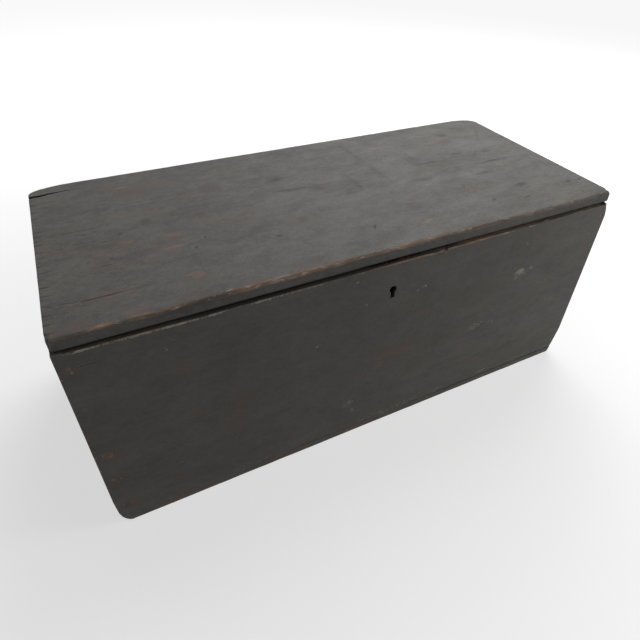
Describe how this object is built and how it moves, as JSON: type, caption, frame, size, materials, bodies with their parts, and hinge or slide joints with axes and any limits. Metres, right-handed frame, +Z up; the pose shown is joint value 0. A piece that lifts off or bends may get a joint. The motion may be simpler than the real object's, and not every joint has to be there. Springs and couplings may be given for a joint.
{
  "type": "storage chest",
  "caption": "Low oblong plank chest in worn dark paint, with a flat hinged lid, a keyhole in its front and an iron lock whose bolt slides through eyes under the lid.",
  "frame": {"origin": "middle of the underside, on the surface that the chest stands on", "axes": "+Z up; +X along the length, towards the right end as seen from the front; the front with the keyhole faces -Y and the hinges are at +Y"},
  "size_m": [0.864, 0.384, 0.363],
  "materials": {
    "worn_paint": "worn dark grey-black paint, rubbed to brown wood at the arrises",
    "dark_iron": "dark aged iron",
    "worn_iron": "worn iron, dull",
    "nail_iron": "rusted cut nail"
  },
  "bodies": {
    "case": {"front_board": "worn_paint", "back_board": "worn_paint", "left_end_board": "worn_paint", "right_end_board": "worn_paint", "bottom_board": "worn_paint", "left_hinge_body_leaf": "dark_iron", "right_hinge_body_leaf": "dark_iron", "left_hinge_pin": "worn_iron", "right_hinge_pin": "worn_iron", "left_hinge_body_screw_1": "worn_iron", "left_hinge_body_screw_2": "worn_iron", "right_hinge_body_screw_1": "worn_iron", "right_hinge_body_screw_2": "worn_iron", "lock_plate": "dark_iron", "lock_case": "dark_iron", "lock_drill_pin": "worn_iron", "lock_guide_stud": "worn_iron", "lock_ward": "dark_iron", "lock_spring": "worn_iron", "lock_case_left_rivet": "worn_iron", "lock_case_right_rivet": "worn_iron", "lock_upper_left_screw": "worn_iron", "lock_upper_right_screw": "worn_iron", "lock_lower_left_screw": "worn_iron", "lock_lower_right_screw": "worn_iron", "front_left_nail_1": "nail_iron", "front_left_nail_2": "nail_iron", "front_left_nail_3": "nail_iron", "front_left_nail_4": "nail_iron", "front_left_nail_5": "nail_iron", "front_right_nail_1": "nail_iron", "front_right_nail_2": "nail_iron", "front_right_nail_3": "nail_iron", "front_right_nail_4": "nail_iron", "front_right_nail_5": "nail_iron", "back_left_nail_1": "nail_iron", "back_left_nail_2": "nail_iron", "back_left_nail_3": "nail_iron", "back_left_nail_4": "nail_iron", "back_right_nail_1": "nail_iron", "back_right_nail_2": "nail_iron", "back_right_nail_3": "nail_iron", "back_right_nail_4": "nail_iron", "bottom_front_nail_1": "nail_iron", "bottom_front_nail_2": "nail_iron", "bottom_front_nail_3": "nail_iron", "bottom_back_nail_1": "nail_iron", "bottom_back_nail_2": "nail_iron", "bottom_back_nail_3": "nail_iron"},
    "lid": {"lid_board": "worn_paint", "left_hinge_lid_leaf": "dark_iron", "right_hinge_lid_leaf": "dark_iron", "left_hinge_lid_screw_1": "worn_iron", "left_hinge_lid_screw_2": "worn_iron", "right_hinge_lid_screw_1": "worn_iron", "right_hinge_lid_screw_2": "worn_iron", "strike_plate": "dark_iron", "strike_left_screw": "worn_iron", "strike_right_screw": "worn_iron"},
    "bolt": {"lock_bolt": "worn_iron"}
  },
  "joints": [
    {"name": "lid_hinge", "type": "hinge", "parent": "case", "child": "lid", "pos_m": [0, 0.1881, 0.34535], "axis": [-1, 0, 0], "range_deg": [0, 105]},
    {"name": "bolt_slide", "type": "slide", "parent": "case", "child": "bolt", "axis": [1, 0, 0], "range_m": [0, 0.009]}
  ]
}
